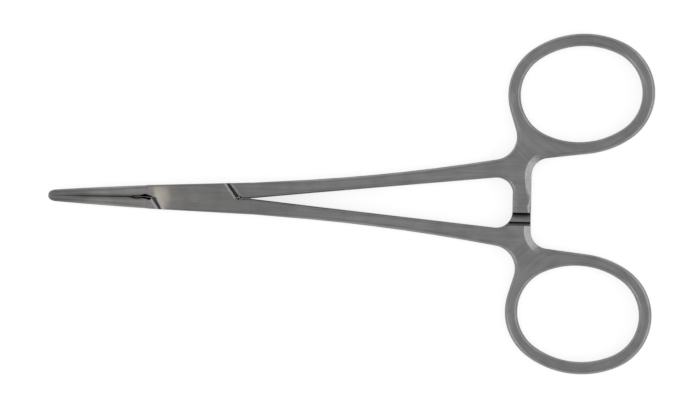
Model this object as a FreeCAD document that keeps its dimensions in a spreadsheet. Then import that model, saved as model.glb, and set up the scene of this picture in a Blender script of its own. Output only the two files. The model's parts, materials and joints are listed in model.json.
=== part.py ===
import FreeCAD, Part
import math
import os
import re
import Sketcher

# Mosquito-pattern haemostatic forceps, 12.5 cm long, with a box lock and a three-step ratchet.
#
# Millimetres. The pivot is the Z axis, the finger rings are at +X and the jaws point to -X. Z is 0
# on the flat of the box lock that the instrument rests on.
# Each half is drawn about its own mid-plane, its jaw at -Y and its handle at +Y. The female half is
# then turned over about X, so the handles mirror each other and the ratchet racks come face to face.

# Driving sizes in millimetres and degrees
SIZES = {
    # Jaw: how far it reaches from the pivot, and its width, thickness and back rounding on the way
    "jaw_reach": 30.3,
    "jaw_middle": 18.3,
    "jaw_root": 8.0,
    "tip_width": 1.1,
    "tip_thick": 1.5,
    "tip_back_round": 0.6,
    "tip_bite_round": 0.15,
    "tip_nose_round": 1.1,
    "middle_width": 1.92,
    "middle_thick": 2.4,
    "middle_back_round": 0.9,
    "middle_bite_round": 0.3,
    "root_width": 2.48,
    "root_thick": 3.16,
    "root_back_round": 0.6,
    "root_bite_round": 0.45,
    "bite_gap": 0.02,
    # Grooves across the gripping faces. The crests of one jaw stand in the grooves of the other.
    "tip_land": 0.9,
    "throat_start": 12.6,
    "groove_pitch": 0.6,
    "groove_width": 0.45,
    "groove_depth": 0.2,
    # Relief: a notch with slanted walls at the root of the gripping faces, cut into both sides
    "relief_start": 13.3,
    "relief_end": 7.7,
    "relief_rise": 0.3,
    "relief_depth": 0.86,
    "female_relief_peak": 10.25,
    "male_relief_peak": 9.3,
    # Box lock block
    "box_thick": 3.8,
    "box_front": 9.8,
    "box_rear": 11.5,
    "box_front_half_width": 2.44,
    "box_rear_half_width": 3.28,
    "box_edge_round": 0.4,
    "bevel_lean": 30.0,
    "ramp_start": 4.8,
    "ramp_end": 8.4,
    "ramp_drop": 0.3,
    "parting_gap": 0.03,
    "parting_chamfer": 0.25,
    # Box lock walls, as seen from above: their angle to the axis and their distance from the pivot
    "wall_lean": 23.4,
    "wall_offset": 3.365,
    "slot_thick": 1.5,
    "tongue_face_gap": 0.03,
    "tongue_edge_gap": 0.06,
    # Ends of the two plates: where each slanted end starts at the parting and ends at the outline
    "plate_front_inner": 8.2,
    "plate_front_outer": 6.8,
    "plate_rear_inner": 8.55,
    "plate_rear_outer": 6.35,
    "plate_rear_bevel": 0.55,
    "plate_rear_notch": 0.25,
    "plate_rear_nose_back": 0.25,
    "plate_front_bevel": 0.35,
    # Shoulders where the male half grows from tongue to full thickness
    "shoulder_front_inner": 8.9,
    "shoulder_front_outer": 7.35,
    "shoulder_rear_inner": 9.4,
    "shoulder_rear_outer": 7.0,
    "shoulder_bevel": 0.55,
    # Pin
    "pin_radius": 1.0,
    "pin_clearance": 0.05,
    # Shank, from the box lock to the ring
    "handle_thick": 3.2,
    "handle_round": 0.9,
    "shank_root": 11.3,
    "shank_root_inner": 0.03,
    "shank_root_outer": 3.24,
    "shank_root_thick": 3.74,
    "shank_root_round": 0.42,
    "shank_start": 24.0,
    "shank_start_inner": 1.33,
    "shank_start_outer": 4.11,
    "shank_inner_lean": 5.74,
    "shank_outer_bend": 396.0,
    # Corners where the shank, ring and ratchet arm meet
    "neck_lean": 31.2,
    "neck_straight": 0.5,
    "neck_round": 4.8,
    "web_y": 5.7,
    "web_round": 3.65,
    "arm_corner_round": 3.3,
    # Finger ring: an oval hole with a wall of even width
    "ring_x": 79.28,
    "ring_y": 22.65,
    "ring_lean": 5.4,
    "ring_wall": 2.5,
    "hole_half_length": 12.6,
    "hole_half_width": 9.9,
    "hole_end_round": 8.95,
    # Ratchet arm and its rack
    "arm_left": 65.43,
    "arm_width": 3.77,
    "arm_overlap": 2.0,
    "web_bevel_width": 1.45,
    "arm_end_bevel_width": 0.5,
    "rack_shoulder": 4.7,
    "rack_run_in": 0.35,
    "rack_gap": 0.1,
    "tooth_first": 3.9,
    "tooth_pitch": 2.0,
    "tooth_crest": 0.58,
    "tooth_depth": 0.5,
    "tooth_count": 3,
}

Vector = FreeCAD.Vector

# Numbers that a sketch gives to the ends and the centre of a line or arc
START, END, CENTRE = 1, 2, 3

# Two places nearer than CLOSE are one. An edge that looks shorter than SHORT_EDGE from above is upright.
SMALL = 1e-6
CLOSE = 1e-4
SHORT_EDGE = 0.5

# Places outside the metal that cuts start from, and the parting between the halves
CLEAR_OF_PART = "(box_thick * 2)"
FAR_SIDE = "(box_rear_half_width + box_thick)"
PAST_FRONT = "-(box_front + box_thick)"
PAST_REAR = "(box_rear + box_thick)"
PARTING = "parting_gap / 2"
ARM_RIGHT = "(arm_left + arm_width)"
RAMP_FOOT = "(box_thick / 2 - ramp_drop)"

# The gripping faces: the level of their crests, and where their row of grooves starts and ends
CREST = "(groove_depth - bite_gap) / 2"
ROW_START = "(tip_land - jaw_reach)"
GROOVES = "floor((jaw_reach - tip_land - throat_start) / groove_pitch)"
ROW_END = f"({ROW_START} + {GROOVES} * groove_pitch)"

doc = FreeCAD.newDocument("haemostat_forceps")
sheet = doc.addObject("Spreadsheet::Sheet", "sizes")


def fill_sheet():
    for row, (name, value) in enumerate(SIZES.items(), start=1):
        sheet.set(f"A{row}", name)
        sheet.set(f"B{row}", str(value))
        sheet.setAlias(f"B{row}", name)
    doc.recompute()


# Expressions are written with the bare names of the sizes. This adds the sheet's name to each.
def tied(text):
    return re.sub(r"[a-z]+(?:_[a-z]+)+", lambda found: "sizes." + found.group(), text)


def number(text):
    return float(sheet.evalExpression(tied(text)))


def point(x, y):
    return Vector(number(x), number(y), 0)


def bind(item, path, text):
    item.setExpression(path, tied(text))


# Sketches

def new_sketch(body, name, role, height="0", turn="0"):
    plane = next(item for item in body.Origin.OriginFeatures if item.Role == role)
    sketch = body.newObject("Sketcher::SketchObject", f"{body.Name}_{name}")
    sketch.AttachmentSupport = [(plane, "")]
    sketch.MapMode = "FlatFace"
    spin = FreeCAD.Rotation(Vector(0, 0, 1), number(turn))
    sketch.AttachmentOffset = FreeCAD.Placement(Vector(0, 0, number(height)), spin)
    bind(sketch, "AttachmentOffset.Base.z", height)
    if turn != "0":
        bind(sketch, "AttachmentOffset.Rotation.Angle", turn)
    return sketch


def tie(sketch, constraint, text):
    index = sketch.addConstraint(constraint)
    bind(sketch, f"Constraints[{index}]", text)


def tie_x(sketch, piece, end, text):
    tie(sketch, Sketcher.Constraint("DistanceX", -1, START, piece, end, number(text)), text)


def tie_y(sketch, piece, end, text):
    tie(sketch, Sketcher.Constraint("DistanceY", -1, START, piece, end, number(text)), text)


def tie_point(sketch, piece, end, x, y):
    tie_x(sketch, piece, end, x)
    tie_y(sketch, piece, end, y)


def tie_radius(sketch, piece, text):
    tie(sketch, Sketcher.Constraint("Radius", piece, number(text)), text)


# A line or arc is kept as its number in the sketch and the names of its first and last ends.
def add_line(sketch, first, last):
    piece = sketch.addGeometry(Part.LineSegment(first, last))
    return piece, START, END


def add_arc(sketch, centre, first, last, turns_left=True):
    begin, finish = (first, last) if turns_left else (last, first)
    from_angle = math.atan2(begin.y - centre.y, begin.x - centre.x)
    to_angle = math.atan2(finish.y - centre.y, finish.x - centre.x)
    if to_angle < from_angle:
        to_angle += 2 * math.pi
    circle = Part.Circle(centre, Vector(0, 0, 1), (first - centre).Length)
    piece = sketch.addGeometry(Part.ArcOfCircle(circle, from_angle, to_angle))
    return (piece, START, END) if turns_left else (piece, END, START)


def join(sketch, kind, before, after):
    sketch.addConstraint(Sketcher.Constraint(kind, before[0], before[2], after[0], after[1]))


def add_polygon(sketch, corners):
    spots = [point(x, y) for x, y in corners]
    sides = [add_line(sketch, spot, after) for spot, after in zip(spots, spots[1:] + spots[:1])]
    for index, side in enumerate(sides):
        join(sketch, "Coincident", side, sides[(index + 1) % len(sides)])
        tie_point(sketch, side[0], START, *corners[index])


# Section of a bar that runs along X, with its own corner radius on its low and high Y side
def add_bar_section(body, name, along, low, high, thick, low_round, high_round):
    sketch = new_sketch(body, name, "YZ_Plane", height=along)
    sides = []
    for side, flip, radius in ((high, -1, high_round), (low, 1, low_round)):
        near, far = f"{side} + ({flip}) * ({radius})", side
        for level in (-1, 1):
            up = -flip * level
            edge = f"({up}) * ({thick}) / 2"
            inset = f"({up}) * (({thick}) / 2 - ({radius}))"
            flat, upright = (near, edge), (far, inset)
            ends = (flat, upright) if level == -1 else (upright, flat)
            sides.append((ends, (near, inset), radius))
    arcs = []
    for ends, centre, radius in sides:
        arc = add_arc(sketch, point(*centre), point(*ends[0]), point(*ends[1]))
        for end, place in zip((START, END), ends):
            tie_point(sketch, arc[0], end, *place)
        tie_radius(sketch, arc[0], radius)
        arcs.append(arc)
    for index, arc in enumerate(arcs):
        after = arcs[(index + 1) % len(arcs)]
        start = sketch.getPoint(arc[0], END)
        finish = sketch.getPoint(after[0], START)
        line = add_line(sketch, start, finish)
        join(sketch, "Coincident", arc, line)
        join(sketch, "Coincident", line, after)
    return sketch


# Features

def finish_feature(body, feature):
    body.Tip = feature
    doc.recompute()
    if feature.Shape.isNull() or not feature.Shape.isValid():
        raise RuntimeError(f"{feature.Name} has no valid shape")
    return feature


def add_pad(body, name, sketch, length):
    pad = body.newObject("PartDesign::Pad", f"{body.Name}_{name}")
    pad.Profile = sketch
    pad.Midplane = True
    bind(pad, "Length", length)
    return finish_feature(body, pad)


def check_cut(before, feature):
    if feature.Shape.Volume > before - SMALL:
        raise RuntimeError(f"{feature.Name} removes nothing")
    return feature


def add_pocket(body, name, sketch, length, both_ways=True, flipped=False):
    before = body.Tip.Shape.Volume
    pocket = body.newObject("PartDesign::Pocket", f"{body.Name}_{name}")
    pocket.Profile = sketch
    pocket.Midplane = both_ways
    pocket.Reversed = flipped
    bind(pocket, "Length", length)
    return check_cut(before, finish_feature(body, pocket))


def add_loft(body, name, profile, sections):
    loft = body.newObject("PartDesign::AdditiveLoft", f"{body.Name}_{name}")
    loft.Profile = profile
    loft.Sections = sections
    return finish_feature(body, loft)


# Cut with flat walls from each section to the next
def add_loft_cut(body, name, sections):
    before = body.Tip.Shape.Volume
    loft = body.newObject("PartDesign::SubtractiveLoft", f"{body.Name}_{name}")
    loft.Profile = sections[0]
    loft.Sections = [(section, [""]) for section in sections[1:]]
    loft.Ruled = True
    return check_cut(before, finish_feature(body, loft))


def edge_names(shape, wanted):
    return [f"Edge{index}" for index, edge in enumerate(shape.Edges, start=1) if wanted(edge)]


def dress(body, kind, name, wanted, size):
    base = body.Tip
    feature = body.newObject(f"PartDesign::{kind}", f"{body.Name}_{name}")
    feature.Base = (base, edge_names(base.Shape, wanted))
    bind(feature, "Radius" if kind == "Fillet" else "Size", size)
    return finish_feature(body, feature)


# Test for the long outer edges that stand over the line through two corners of the plan
def outer_edge_over(line):
    first, last = (point(*corner) for corner in line)
    normal = Vector(last.y - first.y, first.x - last.x, 0).normalize()
    lowest = number(RAMP_FOOT)

    def is_over(edge):
        ends = [vertex.Point for vertex in edge.Vertexes]
        if len(ends) != 2 or math.hypot(ends[1].x - ends[0].x, ends[1].y - ends[0].y) < SHORT_EDGE:
            return False
        return all(abs((end - first).dot(normal)) < CLOSE and abs(end.z) > lowest - CLOSE for end in ends)

    return is_over


# Handle: shank, finger ring and ratchet arm in one outline

# Ends of the straight line that touches two circles on opposite sides of it
def crossing_tangent(near, near_radius, far, far_radius, side):
    reach = far - near
    lean = math.atan2(reach.y, reach.x) + side * math.acos((near_radius + far_radius) / reach.Length)
    normal = Vector(math.cos(lean), math.sin(lean), 0)
    return near + normal * near_radius, far - normal * far_radius


# Point where an arc about one centre runs on smoothly as an arc about another
def meeting(side_centre, end_centre, end_radius):
    return end_centre + (end_centre - side_centre).normalize() * end_radius


# The oval is four arcs: small ones round its ends and large ones along its sides.
END_SHIFT = "(hole_half_length - hole_end_round)"
SIDE_SHIFT = (
    "((hole_half_length ^ 2 - 2 * hole_half_length * hole_end_round + hole_half_width ^ 2)"
    " / (2 * (hole_half_width - hole_end_round)) - hole_half_width)"
)
COS_RING, SIN_RING = "cos(ring_lean * 1deg)", "sin(ring_lean * 1deg)"
RIGHT_CENTRE = (f"ring_x + {END_SHIFT} * {COS_RING}", f"ring_y + {END_SHIFT} * {SIN_RING}")
LEFT_CENTRE = (f"ring_x - {END_SHIFT} * {COS_RING}", f"ring_y - {END_SHIFT} * {SIN_RING}")
TOP_CENTRE = (f"ring_x + {SIDE_SHIFT} * {SIN_RING}", f"ring_y - {SIDE_SHIFT} * {COS_RING}")
BOTTOM_CENTRE = (f"ring_x - {SIDE_SHIFT} * {SIN_RING}", f"ring_y + {SIDE_SHIFT} * {COS_RING}")
OVAL_CENTRES = (RIGHT_CENTRE, TOP_CENTRE, LEFT_CENTRE, BOTTOM_CENTRE)

# The neck's centre keeps its distance from the oval's left end.
NECK_REACH = "(hole_end_round + ring_wall + neck_round + neck_straight)"
NECK = (
    f"{LEFT_CENTRE[0]} - {NECK_REACH} * cos(neck_lean * 1deg)",
    f"{LEFT_CENTRE[1]} - {NECK_REACH} * sin(neck_lean * 1deg)",
)


def add_ring_hole(sketch):
    right, top, left, bottom = (point(*place) for place in OVAL_CENTRES)
    end_radius = number("hole_end_round")
    pairs = (bottom, right), (top, right), (top, left), (bottom, left)
    corners = [meeting(side, end, end_radius) for side, end in pairs]
    arcs = []
    for index, place in enumerate(OVAL_CENTRES):
        arcs.append(add_arc(sketch, point(*place), corners[index], corners[(index + 1) % len(corners)]))
    for before, after in zip(arcs, arcs[1:] + arcs[:1]):
        join(sketch, "Tangent", before, after)
    for arc, place in zip(arcs, OVAL_CENTRES[:3]):
        tie_point(sketch, arc[0], CENTRE, *place)
    tie_radius(sketch, arcs[0][0], "hole_end_round")
    sketch.addConstraint(Sketcher.Constraint("Equal", arcs[1][0], arcs[3][0]))


def add_handle_outline(sketch):
    # Shank's inner line and the corner into the ratchet arm
    lean = math.radians(number("shank_inner_lean"))
    start_inner = point("shank_start", "shank_start_inner")
    corner_radius = number("arm_corner_round")
    corner_x = number("arm_left") - corner_radius
    line_y = start_inner.y + math.tan(lean) * (corner_x - start_inner.x)
    corner = Vector(corner_x, line_y - corner_radius / math.cos(lean), 0)
    corner_start = corner + Vector(-math.sin(lean), math.cos(lean), 0) * corner_radius
    corner_end = corner + Vector(corner_radius, 0, 0)
    arm_end_left = point("arm_left", "-arm_overlap")
    arm_end_right = point(ARM_RIGHT, "-arm_overlap")

    # Web between the arm and the ring, and the oval's outside
    web = point(f"{ARM_RIGHT} + web_round", "web_y")
    web_start = point(ARM_RIGHT, "web_y")
    end_radius = number("hole_end_round + ring_wall")
    side_radius = number(f"{SIDE_SHIFT} + hole_half_width + ring_wall")
    right, top, left, bottom = (point(*place) for place in OVAL_CENTRES)
    web_end, bottom_start = crossing_tangent(web, number("web_round"), bottom, side_radius, 1)
    low_right = meeting(bottom, right, end_radius)
    high_right = meeting(top, right, end_radius)
    high_left = meeting(top, left, end_radius)

    # Neck between the ring and the shank, and the shank's gently bent outer edge
    neck = point(*NECK)
    neck_radius = number("neck_round")
    neck_start, left_end = crossing_tangent(neck, neck_radius, left, end_radius, -1)
    start_outer = point("shank_start", "shank_start_outer")
    bend = number("shank_outer_bend")
    span = neck - start_outer
    along = (bend ** 2 - (bend - neck_radius) ** 2 + span.Length ** 2) / (2 * span.Length)
    across = math.sqrt(bend ** 2 - along ** 2)
    course = Vector(span).normalize()
    bend_centre = start_outer + course * along + Vector(-course.y, course.x, 0) * across
    neck_end = meeting(bend_centre, neck, neck_radius)

    inner = add_line(sketch, start_inner, corner_start)
    arm_corner = add_arc(sketch, corner, corner_start, corner_end, turns_left=False)
    arm_left = add_line(sketch, corner_end, arm_end_left)
    arm_end = add_line(sketch, arm_end_left, arm_end_right)
    arm_right = add_line(sketch, arm_end_right, web_start)
    web_arc = add_arc(sketch, web, web_start, web_end, turns_left=False)
    web_line = add_line(sketch, web_end, bottom_start)
    bottom_arc = add_arc(sketch, bottom, bottom_start, low_right)
    right_arc = add_arc(sketch, right, low_right, high_right)
    top_arc = add_arc(sketch, top, high_right, high_left)
    left_arc = add_arc(sketch, left, high_left, left_end)
    neck_line = add_line(sketch, left_end, neck_start)
    neck_arc = add_arc(sketch, neck, neck_start, neck_end, turns_left=False)
    outer = add_arc(sketch, bend_centre, neck_end, start_outer, turns_left=False)
    start = add_line(sketch, start_outer, start_inner)

    smooth = (inner, arm_corner, arm_left), (arm_right, web_arc, web_line, bottom_arc, right_arc, top_arc)
    for chain in smooth + ((top_arc, left_arc, neck_line, neck_arc, outer),):
        for before, after in zip(chain, chain[1:]):
            join(sketch, "Tangent", before, after)
    for chain in (arm_left, arm_end, arm_right), (outer, start, inner):
        for before, after in zip(chain, chain[1:]):
            join(sketch, "Coincident", before, after)

    for upright in (arm_left, arm_right):
        sketch.addConstraint(Sketcher.Constraint("Vertical", upright[0]))
    sketch.addConstraint(Sketcher.Constraint("Horizontal", arm_end[0]))
    tie_point(sketch, inner[0], START, "shank_start", "shank_start_inner")
    tie(sketch, Sketcher.Constraint("Angle", inner[0], lean), "shank_inner_lean * 1deg")
    tie_radius(sketch, arm_corner[0], "arm_corner_round")
    tie_point(sketch, arm_end[0], START, "arm_left", "-arm_overlap")
    tie_x(sketch, arm_end[0], END, ARM_RIGHT)
    tie_radius(sketch, web_arc[0], "web_round")
    tie_y(sketch, web_arc[0], CENTRE, "web_y")
    tie_point(sketch, bottom_arc[0], CENTRE, *BOTTOM_CENTRE)
    tie_point(sketch, right_arc[0], CENTRE, *RIGHT_CENTRE)
    tie_radius(sketch, right_arc[0], "hole_end_round + ring_wall")
    tie_point(sketch, top_arc[0], CENTRE, *TOP_CENTRE)
    tie_point(sketch, left_arc[0], CENTRE, *LEFT_CENTRE)
    tie_point(sketch, neck_arc[0], CENTRE, *NECK)
    tie_radius(sketch, neck_arc[0], "neck_round")
    tie_radius(sketch, outer[0], "shank_outer_bend")
    tie_point(sketch, start[0], START, "shank_start", "shank_start_outer")


def add_handle(body):
    sketch = new_sketch(body, "handle_outline", "XY_Plane")
    add_handle_outline(sketch)
    add_ring_hole(sketch)
    add_pad(body, "handle", sketch, "handle_thick")
    face_height = number("handle_thick") / 2
    start, arm_end = number("shank_start"), -number("arm_overlap")

    def is_long_edge(edge):
        box = edge.BoundBox
        in_face = abs(abs(box.Center.z) - face_height) < SMALL and box.ZLength < SMALL
        return in_face and box.XMax > start + SMALL and box.YMax > arm_end + SMALL

    rounded = dress(body, "Fillet", "handle_rounding", is_long_edge, "handle_round")
    face_ends = [face.BoundBox.XMax for face in rounded.Shape.Faces]
    cut_face = face_ends.index(min(face_ends)) + 1
    root = add_bar_section(
        body, "shank_root_section", "shank_root", "shank_root_inner", "shank_root_outer",
        "shank_root_thick", "shank_root_round", "shank_root_round",
    )
    add_loft(body, "shank", (rounded, [f"Face{cut_face}"]), [(root, [""])])


# Flat bevel on the ring side of the ratchet arm, which runs out round the web
def add_arm_bevel(body):
    axis_x = f"({ARM_RIGHT} + web_round)"
    for name, side in (("top", 1), ("bottom", -1)):
        sections = []
        for end, width, along in (
            ("web", "web_bevel_width", "-web_y"),
            ("arm_end", "arm_end_bevel_width", "arm_overlap + tooth_pitch"),
        ):
            edge_x = f"({ARM_RIGHT} - {width})"
            drop = f"({axis_x} - {edge_x}) * tan(bevel_lean * 1deg)"
            sketch = new_sketch(body, f"{name}_{end}_bevel_outline", "XZ_Plane", height=along)
            add_polygon(sketch, [
                (edge_x, f"{side} * (handle_thick / 2)"),
                (axis_x, f"{side} * (handle_thick / 2 - {drop})"),
                (axis_x, f"{side} * {CLEAR_OF_PART}"),
                (edge_x, f"{side} * {CLEAR_OF_PART}"),
            ])
            sections.append(sketch)
        add_loft_cut(body, f"{name}_arm_bevel", sections)

        before = body.Tip.Shape.Volume
        round_web = body.newObject("PartDesign::Groove", f"{body.Name}_{name}_web_bevel")
        round_web.Profile = sections[0]
        round_web.ReferenceAxis = (sections[0], ["Edge2"])
        round_web.Angle = 360
        check_cut(before, finish_feature(body, round_web))


# Block that both halves of the box lock are cut from

def add_box_block(body):
    sketch = new_sketch(body, "box_outline", "XY_Plane")
    add_polygon(sketch, [
        ("-box_front", "-box_front_half_width"),
        ("box_rear", "-box_rear_half_width"),
        ("box_rear", "box_rear_half_width"),
        ("-box_front", "box_front_half_width"),
    ])
    add_pad(body, "box_block", sketch, "box_thick")

    # The faces slope down to the jaw.
    for name, side in (("top", ""), ("bottom", "-")):
        ramp = new_sketch(body, f"{name}_ramp_outline", "XZ_Plane")
        add_polygon(ramp, [
            ("-ramp_start", f"{side}(box_thick / 2)"),
            ("-ramp_end", f"{side}{RAMP_FOOT}"),
            (PAST_FRONT, f"{side}{RAMP_FOOT}"),
            (PAST_FRONT, f"{side}{CLEAR_OF_PART}"),
            ("-ramp_start", f"{side}{CLEAR_OF_PART}"),
        ])
        add_pocket(body, f"{name}_ramp", ramp, f"2 * {FAR_SIDE}")

    left = ("-box_front", "box_front_half_width"), ("box_rear", "box_rear_half_width")
    right = ("-box_front", "-box_front_half_width"), ("box_rear", "-box_rear_half_width")
    tests = outer_edge_over(left), outer_edge_over(right)
    dress(body, "Fillet", "box_rounding", lambda edge: any(test(edge) for test in tests), "box_edge_round")


# X where the line through two corners crosses a given Y, as an expression
def line_x(first, last, y):
    (first_x, first_y), (last_x, last_y) = first, last
    return f"({first_x}) + (({last_x}) - ({first_x})) * (({y}) - ({first_y})) / (({last_y}) - ({first_y}))"


# Bevels along a slanted end of the block. Inward is 1 or -1: the way along X from the end into
# the metal.
def add_end_bevel(body, name, line, inward, width, level, inner_y):
    outer_y = f"({line[1][1]}) / abs({line[1][1]}) * {FAR_SIDE}"
    rise = f"{width} * tan(bevel_lean * 1deg)"
    for face, side in (("top", 1), ("bottom", -1)):
        sections = []
        for end, y in (("inner", inner_y), ("outer", outer_y)):
            edge_x = line_x(*line, y)
            sketch = new_sketch(body, f"{face}_{name}_{end}_outline", "XZ_Plane", height=f"-({y})")
            add_polygon(sketch, [
                (f"{edge_x} + ({2 * inward}) * {width}", f"({side}) * ({level} + {rise})"),
                (f"{edge_x} - ({inward}) * {width}", f"({side}) * ({level} - 2 * {rise})"),
                (f"{edge_x} - ({inward}) * {width}", f"({side}) * ({level} + {rise})"),
            ])
            sections.append(sketch)
        add_loft_cut(body, f"{face}_{name}", sections)


def add_jaw(body):
    sections = []
    for place, reach, name in (
        ("jaw_root", "jaw_root", "root"),
        ("jaw_middle", "jaw_middle", "middle"),
        ("jaw_tip", "jaw_reach", "tip"),
    ):
        sections.append(add_bar_section(
            body, f"{place}_section", f"-{reach}", f"-{name}_width", CREST,
            f"{name}_thick", f"{name}_back_round", f"{name}_bite_round",
        ))
    add_loft(body, "jaw", sections[0], [(section, [""]) for section in sections[1:]])


def add_tip_nose(body):
    before = body.Tip.Shape.Volume
    sketch = new_sketch(body, "tip_nose_outline", "XY_Plane")
    centre_x = "tip_nose_round - jaw_reach"
    past_tip = f"-jaw_reach - {CLEAR_OF_PART}"
    past_side = f"-{CLEAR_OF_PART}"
    corners = (centre_x, past_side), (past_tip, past_side), (past_tip, "0")
    tip, nose_end = point("-jaw_reach", "0"), point(centre_x, "-tip_nose_round")
    nose = add_arc(sketch, point(centre_x, "0"), tip, nose_end)
    spots = [nose_end, *(point(x, y) for x, y in corners), tip]
    sides = [add_line(sketch, spot, after) for spot, after in zip(spots, spots[1:])]
    loop = [nose, *sides]
    for piece, after in zip(loop, sides + [nose]):
        join(sketch, "Coincident", piece, after)
    tie_point(sketch, nose[0], CENTRE, centre_x, "0")
    tie_x(sketch, nose[0], END, centre_x)
    for side, corner in zip(sides, corners):
        tie_point(sketch, side[0], END, *corner)
    tie_point(sketch, sides[-1][0], END, "-jaw_reach", "0")
    groove = body.newObject("PartDesign::Groove", f"{body.Name}_tip_nose")
    groove.Profile = sketch
    groove.ReferenceAxis = (sketch, ["H_Axis"])
    groove.Angle = 360
    check_cut(before, finish_feature(body, groove))


# Row of grooves along the gripping face, as wide between their walls as the crests beside them
def add_grooves(body, first, count):
    tip = new_sketch(body, "tip_land_outline", "XY_Plane")
    land_end = f"{ROW_START} - groove_pitch + groove_width"
    add_polygon(tip, [
        (f"-jaw_reach - {CLEAR_OF_PART}", "-bite_gap / 2"),
        (land_end, "-bite_gap / 2"),
        (land_end, CLEAR_OF_PART),
        (f"-jaw_reach - {CLEAR_OF_PART}", CLEAR_OF_PART),
    ])
    add_pocket(body, "tip_land", tip, CLEAR_OF_PART)

    sketch = new_sketch(body, "groove_outline", "XY_Plane")
    wall = "(groove_width - groove_pitch / 2)"
    add_polygon(sketch, [
        (first, CREST),
        (f"{first} + {wall}", f"{CREST} - groove_depth"),
        (f"{first} + groove_width - {wall}", f"{CREST} - groove_depth"),
        (f"{first} + groove_width", CREST),
        (f"{first} + groove_width", f"{CREST} + groove_depth"),
        (first, f"{CREST} + groove_depth"),
    ])
    groove = add_pocket(body, "groove", sketch, CLEAR_OF_PART)
    row = body.newObject("PartDesign::LinearPattern", f"{body.Name}_groove_row")
    row.Originals = [groove]
    row.Direction = (sketch, ["H_Axis"])
    row.Mode = "Spacing"
    bind(row, "Offset", "groove_pitch")
    bind(row, "Occurrences", count)
    check_cut(groove.Shape.Volume, finish_feature(body, row))


# The notch is widest in the faces of the jaw and closes at their mid-plane.
def add_relief(body, peak):
    sections = []
    for name, height, bottom in (
        ("top", "box_thick / 2", "-relief_depth"),
        ("middle", "0", "relief_rise - groove_depth / 2"),
        ("bottom", "-box_thick / 2", "-relief_depth"),
    ):
        sketch = new_sketch(body, f"{name}_relief_outline", "XY_Plane", height=height)
        add_polygon(sketch, [
            ("-relief_start", "relief_rise"),
            (f"-{peak}", bottom),
            ("-relief_end", "relief_rise"),
        ])
        sections.append(sketch)
    add_loft_cut(body, "relief", sections)


# Rack: the arm's inner half is milled away, corners and all, down to a row of saw teeth.
def add_rack(body):
    reach = "arm_width + web_round + arm_corner_round"
    sketch = new_sketch(body, "rack_outline", "YZ_Plane", height=f"{ARM_RIGHT} + web_round")
    crest, valley = "rack_gap / 2", "rack_gap / 2 + tooth_depth"
    corners = [("rack_shoulder", f"-{CLEAR_OF_PART}"), ("rack_shoulder", f"{valley} - rack_run_in")]
    for index in range(int(number("tooth_count"))):
        face = f"tooth_first - {index} * tooth_pitch"
        corners += [(face, valley), (face, crest), (f"{face} - tooth_crest", crest)]
    beyond = "-arm_overlap - tooth_pitch"
    corners += [(beyond, valley), (beyond, f"-{CLEAR_OF_PART}")]
    add_polygon(sketch, corners)
    add_pocket(body, "rack", sketch, reach, both_ways=False)


def add_blank(body):
    add_handle(body)
    add_arm_bevel(body)
    add_box_block(body)
    add_jaw(body)
    add_tip_nose(body)
    add_rack(body)


# Female half: two plates with a slot between them

# Half width of the block at a given X, as an expression
def outline_y(x):
    growth = "(box_rear_half_width - box_front_half_width) / (box_rear + box_front)"
    return f"(box_front_half_width + {growth} * ({x} + box_front))"


def build_female_half():
    body = doc.addObject("PartDesign::Body", "female_half")
    add_blank(body)

    front = ("-plate_front_inner", PARTING), ("-plate_front_outer", outline_y("-plate_front_outer"))
    heel_y = "(shoulder_front_inner * sin(wall_lean * 1deg) - wall_offset) / cos(wall_lean * 1deg)"
    throat = new_sketch(body, "front_trim_outline", "XY_Plane")
    add_polygon(throat, [
        (ROW_END, "-bite_gap / 2"),
        ("-box_front", "-bite_gap / 2"),
        ("-shoulder_front_inner", heel_y),
        front[0],
        (line_x(*front, FAR_SIDE), FAR_SIDE),
        (ROW_END, FAR_SIDE),
    ])
    add_pocket(body, "front_trim", throat, CLEAR_OF_PART)
    add_end_bevel(body, "front_plate_bevel", front, 1, "plate_front_bevel", RAMP_FOOT, "0")

    # A nose behind the plates closes the corner between the tongue's edge and the male shoulder.
    rear = ("plate_rear_inner", PARTING), ("plate_rear_outer", f"-{outline_y('plate_rear_outer')}")
    nose_x = "(shoulder_rear_inner - plate_rear_nose_back)"
    nose_y = f"(wall_offset - {nose_x} * sin(wall_lean * 1deg)) / cos(wall_lean * 1deg)"
    trim = new_sketch(body, "rear_trim_outline", "XY_Plane")
    add_polygon(trim, [
        rear[0],
        (line_x(*rear, f"-{FAR_SIDE}"), f"-{FAR_SIDE}"),
        (PAST_REAR, f"-{FAR_SIDE}"),
        (PAST_REAR, PARTING),
        ("shoulder_rear_inner - tongue_edge_gap", PARTING),
        (nose_x, nose_y),
    ])
    add_pocket(body, "rear_trim", trim, CLEAR_OF_PART)
    add_parting_chamfer(body)
    add_end_bevel(body, "rear_plate_bevel", rear, -1, "plate_rear_bevel", "box_thick / 2", "plate_rear_notch")

    slot = new_sketch(body, "slot_outline", "XY_Plane", turn="-wall_lean")
    reach = "(box_rear + box_front)"
    add_polygon(slot, [
        (f"-{reach}", "-wall_offset"),
        (reach, "-wall_offset"),
        (reach, "wall_offset"),
        (f"-{reach}", "wall_offset"),
    ])
    add_pocket(body, "slot", slot, "slot_thick")
    add_pin_hole(body, "pin_radius")
    add_relief(body, "female_relief_peak")
    add_grooves(body, ROW_START, GROOVES)
    return body


def add_parting_chamfer(body):
    line = ("0", PARTING), ("box_rear", PARTING)
    dress(body, "Chamfer", "parting_chamfer", outer_edge_over(line), "parting_chamfer")


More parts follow.
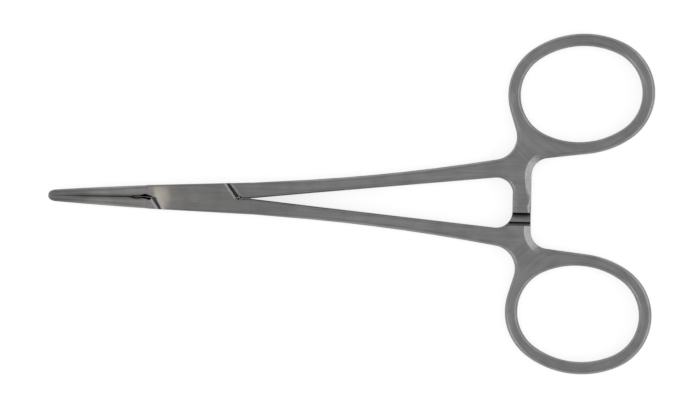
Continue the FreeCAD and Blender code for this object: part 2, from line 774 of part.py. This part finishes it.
def add_pin_hole(body, radius):
    sketch = new_sketch(body, "pin_hole_outline", "XY_Plane")
    circle = sketch.addGeometry(Part.Circle(Vector(0, 0, 0), Vector(0, 0, 1), number(radius)))
    sketch.addConstraint(Sketcher.Constraint("Coincident", circle, CENTRE, -1, START))
    tie_radius(sketch, circle, radius)
    add_pocket(body, "pin_hole", sketch, CLEAR_OF_PART)


# Male half: a tongue between two full-thickness shoulders

def build_male_half():
    body = doc.addObject("PartDesign::Body", "male_half")
    add_blank(body)
    edge = "(wall_offset - tongue_edge_gap)"
    cos_wall, sin_wall = "cos(wall_lean * 1deg)", "sin(wall_lean * 1deg)"
    far_edge_x = f"(({FAR_SIDE}) * {cos_wall} - {edge}) / {sin_wall}"

    front_heel_y = f"({edge} - shoulder_front_inner * {sin_wall}) / {cos_wall}"
    front_side_y = f"-{outline_y('-shoulder_front_outer')}"
    front = ("-shoulder_front_inner", front_heel_y), ("-shoulder_front_outer", front_side_y)
    front_trim = new_sketch(body, "front_trim_outline", "XY_Plane")
    add_polygon(front_trim, [
        (ROW_END, "-bite_gap / 2"),
        ("-box_front", "-bite_gap / 2"),
        front[0],
        (far_edge_x, FAR_SIDE),
        (ROW_END, FAR_SIDE),
    ])
    add_pocket(body, "front_trim", front_trim, CLEAR_OF_PART)

    # The tongue's rear edge runs into the line of the rear shoulder.
    rear = ("shoulder_rear_inner", PARTING), ("shoulder_rear_outer", outline_y("shoulder_rear_outer"))
    slant = f"((shoulder_rear_outer - shoulder_rear_inner) / ({rear[1][1]} - {PARTING}))"
    rear_heel_y = (
        f"(({edge} - (shoulder_rear_inner - {slant} * {PARTING}) * {sin_wall})"
        f" / ({slant} * {sin_wall} - {cos_wall}))"
    )
    rear_trim = new_sketch(body, "rear_trim_outline", "XY_Plane")
    add_polygon(rear_trim, [
        rear[0],
        (line_x(*rear, rear_heel_y), rear_heel_y),
        (f"-({far_edge_x})", f"-{FAR_SIDE}"),
        (PAST_REAR, f"-{FAR_SIDE}"),
        (PAST_REAR, PARTING),
    ])
    add_pocket(body, "rear_trim", rear_trim, CLEAR_OF_PART)

    for name, side in (("top", ""), ("bottom", "-")):
        level = f"{side}(slot_thick / 2 - tongue_face_gap)"
        sketch = new_sketch(body, f"{name}_milling_outline", "XY_Plane", height=level)
        add_polygon(sketch, [
            (line_x(*rear, FAR_SIDE), FAR_SIDE),
            (line_x(*front, FAR_SIDE), FAR_SIDE),
            (line_x(*front, f"-{FAR_SIDE}"), f"-{FAR_SIDE}"),
            (line_x(*rear, f"-{FAR_SIDE}"), f"-{FAR_SIDE}"),
        ])
        add_pocket(body, f"{name}_milling", sketch, "box_thick", both_ways=False, flipped=name == "top")
    add_parting_chamfer(body)
    add_end_bevel(body, "front_shoulder_bevel", front, -1, "shoulder_bevel", RAMP_FOOT, "0")
    add_end_bevel(body, "rear_shoulder_bevel", rear, 1, "shoulder_bevel", "box_thick / 2", "0")
    add_pin_hole(body, "pin_radius + pin_clearance")
    add_relief(body, "male_relief_peak")

    # The male row starts half a pitch earlier, so that the rows stand in each other.
    add_grooves(body, f"{ROW_START} - groove_pitch / 2", f"{GROOVES} + 1")
    return body


def build_pin():
    pin = doc.addObject("Part::Cylinder", "box_lock_pin")
    bind(pin, "Radius", "pin_radius")
    bind(pin, "Height", "box_thick")
    return pin


# Assembly and export

fill_sheet()
female = build_female_half()
male = build_male_half()
pin = build_pin()
for half in (female, male):
    turn = FreeCAD.Rotation(Vector(1, 0, 0), 180 if half is female else 0)
    half.Placement = FreeCAD.Placement(Vector(0, 0, number("box_thick / 2")), turn)
    bind(half, "Placement.Base.z", "box_thick / 2")
for node in (female, male, pin):
    node.Label = node.Name
doc.recompute()

for item in doc.Objects:
    if any(word in item.State for word in ("Invalid", "Error")):
        raise RuntimeError(f"{item.Name} failed")
os.makedirs("parts", exist_ok=True)
for node in (female, male, pin):
    shape = node.Shape
    if shape.isNull() or not shape.isValid():
        raise RuntimeError(f"{node.Label} has no valid shape")
    print(node.Label, len(shape.Solids), "solid", round(shape.Volume, 2), "mm3", shape.BoundBox)
for node in (female, male, pin):
    node.Shape.exportStep(f"parts/{node.Label}.step")
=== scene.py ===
import json
import math
import bpy
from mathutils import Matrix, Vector


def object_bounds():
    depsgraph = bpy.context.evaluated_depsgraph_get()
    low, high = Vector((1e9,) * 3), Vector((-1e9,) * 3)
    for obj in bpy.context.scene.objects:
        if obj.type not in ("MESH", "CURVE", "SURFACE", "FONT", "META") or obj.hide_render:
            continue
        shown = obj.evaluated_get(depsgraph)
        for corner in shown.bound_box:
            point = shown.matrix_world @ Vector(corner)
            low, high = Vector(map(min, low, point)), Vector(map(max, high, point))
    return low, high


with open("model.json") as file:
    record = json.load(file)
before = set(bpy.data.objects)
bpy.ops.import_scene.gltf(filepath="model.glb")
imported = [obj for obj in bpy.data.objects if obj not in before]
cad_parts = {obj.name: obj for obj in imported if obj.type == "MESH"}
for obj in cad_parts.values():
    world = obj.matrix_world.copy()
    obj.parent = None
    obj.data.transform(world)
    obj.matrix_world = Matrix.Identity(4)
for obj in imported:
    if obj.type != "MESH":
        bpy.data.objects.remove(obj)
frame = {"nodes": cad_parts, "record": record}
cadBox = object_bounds()
mmPerMetre = 1000.0
print("frame loaded:", ", ".join(sorted(frame["nodes"])))


# sRGB hex, such as "#8a8985", to the linear colour that a shader wants
def hexToLinear(hexColour):
    channels = [int(hexColour[start:start + 2], 16) / 255 for start in (1, 3, 5)]
    linear = [c / 12.92 if c <= 0.04045 else ((c + 0.055) / 1.055) ** 2.4 for c in channels]
    return (*linear, 1.0)


# Adds one node: settings are the node's own values, inputs are numbers, colours or sockets to link.
# A Mix node takes numbers at sockets 2 and 3, vectors at 4 and 5, colours at 6 and 7, and gives them
# at outputs 0, 1 and 2.
def addNode(tree, kind, inputs=None, **settings):
    node = tree.nodes.new(kind)
    for name, value in settings.items():
        setattr(node, name, value)
    for socket, value in (inputs or {}).items():
        if isinstance(value, bpy.types.NodeSocket):
            tree.links.new(value, node.inputs[socket])
        else:
            node.inputs[socket].default_value = value
    return node


def newMaterial(name):
    material = bpy.data.materials.new(name)
    material.use_nodes = True
    tree = material.node_tree
    tree.nodes.clear()
    return material, tree


# Martensitic stainless steel, forged, ground along its length with a fine belt and glass-bead
# blasted, then tumbled. The eye sees an even mid grey with a soft sheen, very fine lines and some
# wider streaks that run along the shanks and round the rings. Painted shade makes the sides a
# little darker than the ground faces, darkens the box lock, and makes the slot, the notch, the rack
# and the rounded edges where the jaws meet look black. The jaws' ends are darker too.
satinSteel = {
    "faceColour": "#c6c6c6",
    # painted shade: the sides get a darker copy of the face colour
    "sidePaintedShadeColour": "#c1c1c1",
    "sideToFace": (0.1, 0.7),     # how far up or down a surface looks: a side, a ground face
    "roughness": 0.34,
    "roughnessSpread": 0.06,
    "grainWidth": 0.14,           # mm, 0.03 on the real steel: drawn coarser so that it shows
    "grainLength": 4.0,           # mm
    "grainDepth": 0.0012,         # mm
    "ringGrainRadius": 19.0,      # mm round a ring's centre, inside which the lines turn with the ring
    "streakWidth": 0.55,          # mm, wider marks that the belt leaves along the lines
    "streakShade": 0.84,          # this and each shade below: share of the colour that the place keeps
    "cloudSize": 3.5,             # mm, patches where the blasting took more or less
    "cloudShade": 0.86,
    "markRange": (0.35, 0.65),    # the noise values at which a mark or patch is full and gone
    "tipShade": 0.66,             # darker towards the jaws' ends
    "tipEnds": (-26.0, -21.0),    # mm along X, where that shade is full and gone
    "boxPaintedShade": 0.84,             # painted shade on the box lock: a darker reflection painted into its colour
    "boxMiddle": 7.0,             # mm along X
    "boxReach": (8.0, 16.0),      # mm either way, where that shade is full and gone
    "bitePaintedShade": 0.4,             # painted shade along the gripping edges, where the jaws meet
    "biteWidth": 0.8,             # mm from the line where the jaws meet, all of it a fade
    "biteStart": (-27.0, -23.0),  # mm along X, where that shade is gone and full
    "biteEnd": -9.8,              # mm along X
    "notchPaintedShade": 0.15,             # painted shade at the mouth of the notch behind the jaws
    "notchShadeCentre": (-12.0, -0.1),   # mm
    "notchShadeHalfSize": (1.9, 0.55),   # mm along and across
    "notchShadeCore": 0.4,               # share of that half size that is all dark
    "recessPaintedShade": 0.2,           # painted shade in the deepest recesses
    "recessReach": 1.3,           # mm, how near other steel must be for a place to count as a recess
    "recessOpenness": (0.4, 0.97),  # share of free sky where that shade is full and gone
}

# The ramps at the front of the box lock are ground smoother than the rest and buffed by hand. The eye
# sees a lighter, warmer patch with soft ends where the ramp catches the light beyond the jaws; that colour
# is a painted highlight.
buffedRampPaintedHighlight = {
    # painted highlight: lighter and warmer than the steel
    "colour": "#d9d6ce",
    "roughness": 0.2,
    "centre": (-7.7, 0.0, 0.0),   # mm, middle of the patch
    "reach": (1.5, 3.4),          # mm from there, where the patch is full and gone
    "start": (-9.0, -8.1),        # mm along X, where it is gone and full: the jaw stays satin
    "leastFacing": 0.98,          # how squarely up or down a buffed surface looks
}

# Centres of the two finger rings, in millimetres, from the record's mounts
ringCentres = [
    Vector(mount["pos_m"]) * mmPerMetre
    for mount in frame["record"]["mounts"]
    if mount["name"].endswith("finger_ring")
]


# Noise coordinates that are long along the instrument and fine across it. Round each ring the angle
# takes the place of X and the radius that of Y.
def buildGrainPlace(tree, millimetres, xyz, look):
    across, along = 1 / look["grainWidth"], 1 / look["grainLength"]
    straight = addNode(tree, "ShaderNodeMapping", {"Vector": millimetres, "Scale": (along, across, across)})
    level = addNode(tree, "ShaderNodeMath", {0: xyz.outputs["Z"], 1: across}, operation="MULTIPLY")
    grainPlace = straight.outputs[0]
    for centre in ringCentres:
        local = addNode(tree, "ShaderNodeVectorMath", {0: millimetres, 1: centre}, operation="SUBTRACT")
        localXyz = addNode(tree, "ShaderNodeSeparateXYZ", {0: local.outputs[0]})
        radius = addNode(tree, "ShaderNodeVectorMath", {0: local.outputs[0]}, operation="LENGTH")
        radial = addNode(tree, "ShaderNodeMath", {0: radius.outputs["Value"], 1: across},
                         operation="MULTIPLY")
        angle = addNode(tree, "ShaderNodeMath", {0: localXyz.outputs["Y"], 1: localXyz.outputs["X"]},
                        operation="ARCTAN2")
        arc = addNode(tree, "ShaderNodeMath", {0: angle.outputs[0], 1: look["ringGrainRadius"] * along},
                      operation="MULTIPLY")
        polar = addNode(tree, "ShaderNodeCombineXYZ", {"X": arc.outputs[0], "Y": radial.outputs[0],
                                                       "Z": level.outputs[0]})
        near = addNode(tree, "ShaderNodeMath", {0: radius.outputs["Value"], 1: look["ringGrainRadius"]},
                       operation="LESS_THAN")
        chosen = addNode(tree, "ShaderNodeMix", {"Factor": near.outputs[0], 4: grainPlace,
                                                 5: polar.outputs[0]}, data_type="VECTOR")
        grainPlace = chosen.outputs[1]
    return grainPlace


# How much a place belongs to the gripping edges, where shade is painted: 1 on the line where the jaws meet,
# 0 away from it
def buildBiteShadeShare(tree, xyz, look):
    aside = addNode(tree, "ShaderNodeMath", {0: xyz.outputs["Y"]}, operation="ABSOLUTE")
    nearLine = addNode(tree, "ShaderNodeMapRange", {"Value": aside.outputs[0], "From Max": look["biteWidth"],
                                                    "To Min": 1.0, "To Max": 0.0})
    gone, full = look["biteStart"]
    behindTip = addNode(tree, "ShaderNodeMapRange", {"Value": xyz.outputs["X"], "From Min": gone,
                                                     "From Max": full})
    beforeBox = addNode(tree, "ShaderNodeMath", {0: xyz.outputs["X"], 1: look["biteEnd"]},
                        operation="LESS_THAN")
    onJaw = addNode(tree, "ShaderNodeMath", {0: behindTip.outputs[0], 1: nearLine.outputs[0]},
                    operation="MULTIPLY")
    share = addNode(tree, "ShaderNodeMath", {0: onJaw.outputs[0], 1: beforeBox.outputs[0]},
                    operation="MULTIPLY")
    return share.outputs[0]


# Darkens the steel's colour where it is streaked or clouded and towards the jaws' ends, and paints shade on
# the box lock, along the gripping edges, in the notch and in recesses
def buildShades(tree, colour, millimetres, xyz, grainPlace, look):
    streaks = addNode(tree, "ShaderNodeTexNoise", {"Vector": grainPlace, "Detail": 3.0,
                                                   "Scale": look["grainWidth"] / look["streakWidth"]})
    clouds = addNode(tree, "ShaderNodeTexNoise", {"Vector": millimetres, "Scale": 1 / look["cloudSize"],
                                                  "Detail": 4.0})
    # painted shade on the box lock, fading either way from its middle
    fromBox = addNode(tree, "ShaderNodeMath", {0: xyz.outputs["X"], 1: look["boxMiddle"]},
                      operation="SUBTRACT")
    boxAway = addNode(tree, "ShaderNodeMath", {0: fromBox.outputs[0]}, operation="ABSOLUTE")
    # painted shade at the notch's mouth: an ellipse round its centre, dark in its core
    (notchShadeX, notchShadeY), (notchShadeLong, notchShadeWide) = look["notchShadeCentre"], look["notchShadeHalfSize"]
    fromNotchShade = addNode(tree, "ShaderNodeVectorMath", {
        0: millimetres,
        1: (1 / notchShadeLong, 1 / notchShadeWide, 0),
        2: (-notchShadeX / notchShadeLong, -notchShadeY / notchShadeWide, 0),
    }, operation="MULTIPLY_ADD")
    notchShadeAway = addNode(tree, "ShaderNodeVectorMath", {0: fromNotchShade.outputs[0]}, operation="LENGTH")
    # ambient occlusion finds the recesses that get painted shade
    sky = addNode(tree, "ShaderNodeAmbientOcclusion", {"Distance": look["recessReach"] / mmPerMetre},
                  samples=8)

    # What each shade follows, its values where the shade is full and gone, and how it fades
    for followed, (full, gone), shade, fade in (
        (clouds.outputs[0], look["markRange"], look["cloudShade"], "LINEAR"),
        (xyz.outputs["X"], look["tipEnds"], look["tipShade"], "LINEAR"),
        (streaks.outputs[0], look["markRange"], look["streakShade"], "LINEAR"),
        (boxAway.outputs[0], look["boxReach"], look["boxPaintedShade"], "SMOOTHSTEP"),
        (buildBiteShadeShare(tree, xyz, look), (1.0, 0.0), look["bitePaintedShade"], "LINEAR"),
        (notchShadeAway.outputs["Value"], (look["notchShadeCore"], 1.0), look["notchPaintedShade"], "SMOOTHSTEP"),
        (sky.outputs["AO"], look["recessOpenness"], look["recessPaintedShade"], "LINEAR"),
    ):
        share = addNode(tree, "ShaderNodeMapRange", {"Value": followed, "From Min": full, "From Max": gone,
                                                     "To Min": shade, "To Max": 1.0},
                        interpolation_type=fade)
        shaded = addNode(tree, "ShaderNodeVectorMath", {0: colour, "Scale": share.outputs[0]},
                         operation="SCALE")
        colour = shaded.outputs[0]
    return colour


# Mixes the buffed patch into the steel's roughness, and its painted highlight, lighter and warmer, into the
# steel's colour
def buildRampHighlightPatch(tree, colour, roughness, xyz, facing, look):
    flatPlace = addNode(tree, "ShaderNodeCombineXYZ", {"X": xyz.outputs["X"], "Y": xyz.outputs["Y"]})
    away = addNode(tree, "ShaderNodeVectorMath", {0: flatPlace.outputs[0], 1: look["centre"]},
                   operation="DISTANCE")
    fullReach, goneReach = look["reach"]
    inside = addNode(tree, "ShaderNodeMapRange", {"Value": away.outputs["Value"], "From Min": fullReach,
                                                  "From Max": goneReach, "To Min": 1.0, "To Max": 0.0},
                     interpolation_type="SMOOTHSTEP")
    goneStart, fullStart = look["start"]
    behindJaw = addNode(tree, "ShaderNodeMapRange", {"Value": xyz.outputs["X"], "From Min": goneStart,
                                                     "From Max": fullStart},
                        interpolation_type="SMOOTHSTEP")
    onFace = addNode(tree, "ShaderNodeMath", {0: facing, 1: look["leastFacing"]}, operation="GREATER_THAN")
    patch = addNode(tree, "ShaderNodeMath", {0: inside.outputs[0], 1: behindJaw.outputs[0]},
                    operation="MULTIPLY")
    share = addNode(tree, "ShaderNodeMath", {0: patch.outputs[0], 1: onFace.outputs[0]},
                    operation="MULTIPLY")
    # painted highlight: the patch's lighter, warmer colour
    paintedHighlight = addNode(tree, "ShaderNodeMix", {"Factor": share.outputs[0], 6: colour,
                                             7: hexToLinear(look["colour"])}, data_type="RGBA")
    smoother = addNode(tree, "ShaderNodeMix", {"Factor": share.outputs[0], 2: roughness,
                                               3: look["roughness"]}, data_type="FLOAT")
    return paintedHighlight.outputs[2], smoother.outputs[0]


def buildSatinSteel(name, look, ramp=None):
    material, tree = newMaterial(name)
    place = addNode(tree, "ShaderNodeTexCoord")
    scaled = addNode(tree, "ShaderNodeVectorMath", {0: place.outputs["Object"], "Scale": mmPerMetre},
                     operation="SCALE")
    millimetres = scaled.outputs[0]
    xyz = addNode(tree, "ShaderNodeSeparateXYZ", {0: millimetres})

    # Ground faces look up or down, sides look out; the sides get painted shade, a darker copy of the face
    # colour
    normal = addNode(tree, "ShaderNodeSeparateXYZ", {0: place.outputs["Normal"]})
    facing = addNode(tree, "ShaderNodeMath", {0: normal.outputs["Z"]}, operation="ABSOLUTE")
    side, face = look["sideToFace"]
    faceShare = addNode(tree, "ShaderNodeMapRange", {"Value": facing.outputs[0], "From Min": side,
                                                     "From Max": face})
    steel = addNode(tree, "ShaderNodeMix", {"Factor": faceShare.outputs[0],
                                            6: hexToLinear(look["sidePaintedShadeColour"]),
                                            7: hexToLinear(look["faceColour"])}, data_type="RGBA")

    grainPlace = buildGrainPlace(tree, millimetres, xyz, look)
    grain = addNode(tree, "ShaderNodeTexNoise", {"Vector": grainPlace, "Scale": 1.0, "Detail": 3.0,
                                                 "Roughness": 0.6})
    grainRoughness = addNode(tree, "ShaderNodeMapRange", {
        "Value": grain.outputs[0],
        "To Min": look["roughness"] - look["roughnessSpread"],
        "To Max": look["roughness"] + look["roughnessSpread"],
    })
    bump = addNode(tree, "ShaderNodeBump", {"Height": grain.outputs[0],
                                            "Distance": look["grainDepth"] / mmPerMetre})
    colour = buildShades(tree, steel.outputs[2], millimetres, xyz, grainPlace, look)
    roughness = grainRoughness.outputs[0]
    if ramp:
        colour, roughness = buildRampHighlightPatch(tree, colour, roughness, xyz, facing.outputs[0], ramp)
    shader = addNode(tree, "ShaderNodeBsdfPrincipled", {
        "Base Color": colour,
        "Metallic": 1.0,
        "Roughness": roughness,
        "Normal": bump.outputs[0],
    })
    addNode(tree, "ShaderNodeOutputMaterial", {"Surface": shader.outputs[0]})
    return material


# The rivet is the same steel, ground flush with the box lock and polished over in small circles.
# The eye hardly finds it: a disc of the plate's own grey with finer, round lines.
polishedPin = {
    "colour": "#b3b3b3",
    "roughness": 0.33,
    "ringWidth": 0.12,     # mm between polishing lines, drawn coarser than the real 0.02
    "ringDepth": 0.0006,   # mm
}


def buildPolishedPin(look):
    material, tree = newMaterial("flushPolishedStainlessPin")
    place = addNode(tree, "ShaderNodeTexCoord")
    millimetres = addNode(tree, "ShaderNodeVectorMath", {0: place.outputs["Object"], "Scale": mmPerMetre},
                          operation="SCALE")
    radius = addNode(tree, "ShaderNodeVectorMath", {0: millimetres.outputs[0]}, operation="LENGTH")
    turns = addNode(tree, "ShaderNodeMath", {0: radius.outputs["Value"], 1: 1 / look["ringWidth"]},
                    operation="MULTIPLY")
    lines = addNode(tree, "ShaderNodeTexNoise", {"W": turns.outputs[0], "Scale": 1.0, "Detail": 2.0},
                    noise_dimensions="1D")
    bump = addNode(tree, "ShaderNodeBump", {"Height": lines.outputs[0],
                                            "Distance": look["ringDepth"] / mmPerMetre})
    shader = addNode(tree, "ShaderNodeBsdfPrincipled", {
        "Base Color": hexToLinear(look["colour"]),
        "Metallic": 1.0,
        "Roughness": look["roughness"],
        "Normal": bump.outputs[0],
    })
    addNode(tree, "ShaderNodeOutputMaterial", {"Surface": shader.outputs[0]})
    return material


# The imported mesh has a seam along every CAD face: weld the seams, keep real edges sharp
smoothing = {
    "seamGap": 0.000001,     # m
    "sharpAngle": 28.0,      # degrees
}


def buildEdgeTree(look):
    tree = bpy.data.node_groups.new("sharpEdgesByAngle", "GeometryNodeTree")
    tree.interface.new_socket("Geometry", in_out="INPUT", socket_type="NodeSocketGeometry")
    tree.interface.new_socket("Geometry", in_out="OUTPUT", socket_type="NodeSocketGeometry")
    start = addNode(tree, "NodeGroupInput")
    bend = addNode(tree, "GeometryNodeInputMeshEdgeAngle")
    soft = addNode(tree, "FunctionNodeCompare", {0: bend.outputs["Unsigned Angle"],
                                                 1: math.radians(look["sharpAngle"])}, operation="LESS_THAN")
    faces = addNode(tree, "GeometryNodeSetShadeSmooth", {"Geometry": start.outputs[0], "Shade Smooth": True},
                    domain="FACE")
    edges = addNode(tree, "GeometryNodeSetShadeSmooth", {"Geometry": faces.outputs[0],
                                                         "Shade Smooth": soft.outputs[0]}, domain="EDGE")
    addNode(tree, "NodeGroupOutput", {0: edges.outputs[0]})
    return tree


def smoothNode(node, look, edgeTree):
    weld = node.modifiers.new("weldSeams", "WELD")
    weld.merge_threshold = look["seamGap"]
    edges = node.modifiers.new("sharpEdges", "NODES")
    edges.node_group = edgeTree
    weighted = node.modifiers.new("weightedNormals", "WEIGHTED_NORMAL")
    weighted.keep_sharp = True


edgeTree = buildEdgeTree(smoothing)
femaleSteel = buildSatinSteel("satinStainlessSteelWithPaintedRampHighlight", satinSteel, buffedRampPaintedHighlight)
maleSteel = buildSatinSteel("satinGroundStainlessSteel", satinSteel)
pinMaterial = buildPolishedPin(polishedPin)
for nodeName, material in (
    ("female_half", femaleSteel),
    ("male_half", maleSteel),
    ("box_lock_pin", pinMaterial),
):
    node = frame["nodes"][nodeName]
    node.data.materials.clear()
    node.data.materials.append(material)
    smoothNode(node, smoothing, edgeTree)
print("steel halves and pin finished")

# White floor under the instrument. It shows white to the camera, and is darker only where the
# instrument keeps light off it.
floorLook = {
    "colour": "#e9e9e9",
    "ownWhite": 0.74,
    "whiteInSteel": 0.3,  # of that white, what the steel reflects
    "halfSize": 3.0,      # m
}


def buildFloor(look):
    size = look["halfSize"]
    mesh = bpy.data.meshes.new("floor")
    corners = [(-size, -size, 0), (size, -size, 0), (size, size, 0), (-size, size, 0)]
    mesh.from_pydata(corners, [], [(0, 1, 2, 3)])
    floor = bpy.data.objects.new("floor", mesh)
    bpy.context.scene.collection.objects.link(floor)
    floor.location.z = cadBox[0].z
    material, tree = newMaterial("matteWhitePaper")
    rays = addNode(tree, "ShaderNodeLightPath")
    inSteel = addNode(tree, "ShaderNodeMath", {0: rays.outputs["Is Glossy Ray"], 1: look["whiteInSteel"]},
                      operation="MULTIPLY")
    seen = addNode(tree, "ShaderNodeMath", {0: rays.outputs["Is Camera Ray"], 1: inSteel.outputs[0]},
                   operation="MAXIMUM")
    strength = addNode(tree, "ShaderNodeMath", {0: seen.outputs[0], 1: look["ownWhite"]},
                       operation="MULTIPLY")
    glow = addNode(tree, "ShaderNodeEmission", {"Color": (1, 1, 1, 1), "Strength": strength.outputs[0]})
    paper = addNode(tree, "ShaderNodeBsdfDiffuse", {"Color": hexToLinear(look["colour"])})
    both = addNode(tree, "ShaderNodeAddShader", {0: paper.outputs[0], 1: glow.outputs[0]})
    addNode(tree, "ShaderNodeOutputMaterial", {"Surface": both.outputs[0]})
    mesh.materials.append(material)


buildFloor(floorLook)

# Soft studio light: a dim even surround and four soft boxes
surround = {   # Grey walls that are lighter low down, where they catch the light off the white floor
    "upper": "#959595",
    "lower": "#c4c4c4",
    "lowerEnds": 0.5,     # height of a direction, as the sine of its elevation
}


def buildWorld(look):
    world = bpy.data.worlds.new("studio")
    world.use_nodes = True
    tree = world.node_tree
    tree.nodes.clear()
    rays = addNode(tree, "ShaderNodeLightPath")
    direction = addNode(tree, "ShaderNodeTexCoord")
    height = addNode(tree, "ShaderNodeSeparateXYZ", {0: direction.outputs["Generated"]})
    rise = addNode(tree, "ShaderNodeMapRange", {"Value": height.outputs["Z"],
                                                "From Max": look["lowerEnds"]},
                   interpolation_type="SMOOTHSTEP")
    wall = addNode(tree, "ShaderNodeMix", {"Factor": rise.outputs[0], 6: hexToLinear(look["lower"]),
                                           7: hexToLinear(look["upper"])}, data_type="RGBA")
    walls = addNode(tree, "ShaderNodeBackground", {"Color": wall.outputs[2], "Strength": 1.0})
    white = addNode(tree, "ShaderNodeBackground", {"Color": (1, 1, 1, 1), "Strength": 1.0})
    shown = addNode(tree, "ShaderNodeMixShader", {0: rays.outputs["Is Camera Ray"], 1: walls.outputs[0],
                                                  2: white.outputs[0]})
    addNode(tree, "ShaderNodeOutputWorld", {"Surface": shown.outputs[0]})
    bpy.context.scene.world = world


# Soft boxes, each by its radiance, its size and distance in metres, and its direction in degrees
overheadBox = {   # Over the handles, so that they are a little lighter than the jaws
    "radiance": 0.06, "colour": "#ffffff", "width": 0.36, "height": 0.5, "distance": 0.5,
    "elevation": 80.0, "azimuth": 0.0,
}
ringSideBox = {   # Long and low beyond the finger rings: lights the bevels of the arms and box lock
    "radiance": 1.1, "colour": "#ffffff", "width": 1.5, "height": 0.18, "distance": 0.8,
    "elevation": 30.0, "azimuth": 0.0,
}
lowJawSideBox = {  # Low beyond the jaws: lights the bevels that face it
    "radiance": 1.3, "colour": "#ffffff", "width": 0.6, "height": 0.18, "distance": 0.8,
    "elevation": 30.0, "azimuth": 215.0,
}
jawSideBox = {    # High beyond the jaws, slightly warm: lights the ramp and the jaw-side bevels
    "radiance": 0.42, "colour": "#fff3e4", "width": 0.3, "height": 0.2, "distance": 0.8,
    "elevation": 72.0, "azimuth": 180.0,
}


def addSoftBox(name, look):
    lamp = bpy.data.lights.new(name, "AREA")
    lamp.shape = "RECTANGLE"
    lamp.size, lamp.size_y = look["width"], look["height"]
    lamp.energy = look["radiance"] * math.pi * lamp.size * lamp.size_y
    lamp.color = hexToLinear(look["colour"])[:3]
    holder = bpy.data.objects.new(name, lamp)
    bpy.context.scene.collection.objects.link(holder)
    elevation, azimuth = math.radians(look["elevation"]), math.radians(look["azimuth"])
    direction = Vector((math.cos(elevation) * math.cos(azimuth), math.cos(elevation) * math.sin(azimuth),
                        math.sin(elevation)))
    holder.location = direction * look["distance"]
    holder.rotation_mode = "QUATERNION"
    holder.rotation_quaternion = direction.to_track_quat("Z", "Y")
    holder.visible_camera = False


buildWorld(surround)
addSoftBox("overheadBox", overheadBox)
addSoftBox("ringSideBox", ringSideBox)
addSoftBox("lowJawSideBox", lowJawSideBox)
addSoftBox("jawSideBox", jawSideBox)
print("floor and lights placed")

# The photograph looks straight down, from far off, with the instrument turned a little clockwise
photoCamera = {
    "imageWidth": 0.1439,     # m of the instrument's plane across the image
    "centreX": 0.03193,       # m, the image's centre in the instrument's frame
    "centreY": -0.00172,
    "roll": 0.95,             # degrees
    "focalLength": 200.0,     # mm
    "clipRatio": 10.0,        # nearest and farthest shown, against the camera's distance
}


def buildCamera(look):
    camera = bpy.data.objects.new("photoCamera", bpy.data.cameras.new("photoCamera"))
    bpy.context.scene.collection.objects.link(camera)
    camera.data.lens = look["focalLength"]
    distance = look["imageWidth"] * camera.data.lens / camera.data.sensor_width
    camera.location = (look["centreX"], look["centreY"], cadBox[1].z + distance)
    camera.rotation_euler = (0, 0, math.radians(look["roll"]))
    camera.data.clip_start = distance / look["clipRatio"]
    camera.data.clip_end = distance * look["clipRatio"]
    bpy.context.scene.camera = camera


buildCamera(photoCamera)
bpy.context.scene.view_settings.view_transform = "Standard"
print("camera placed")
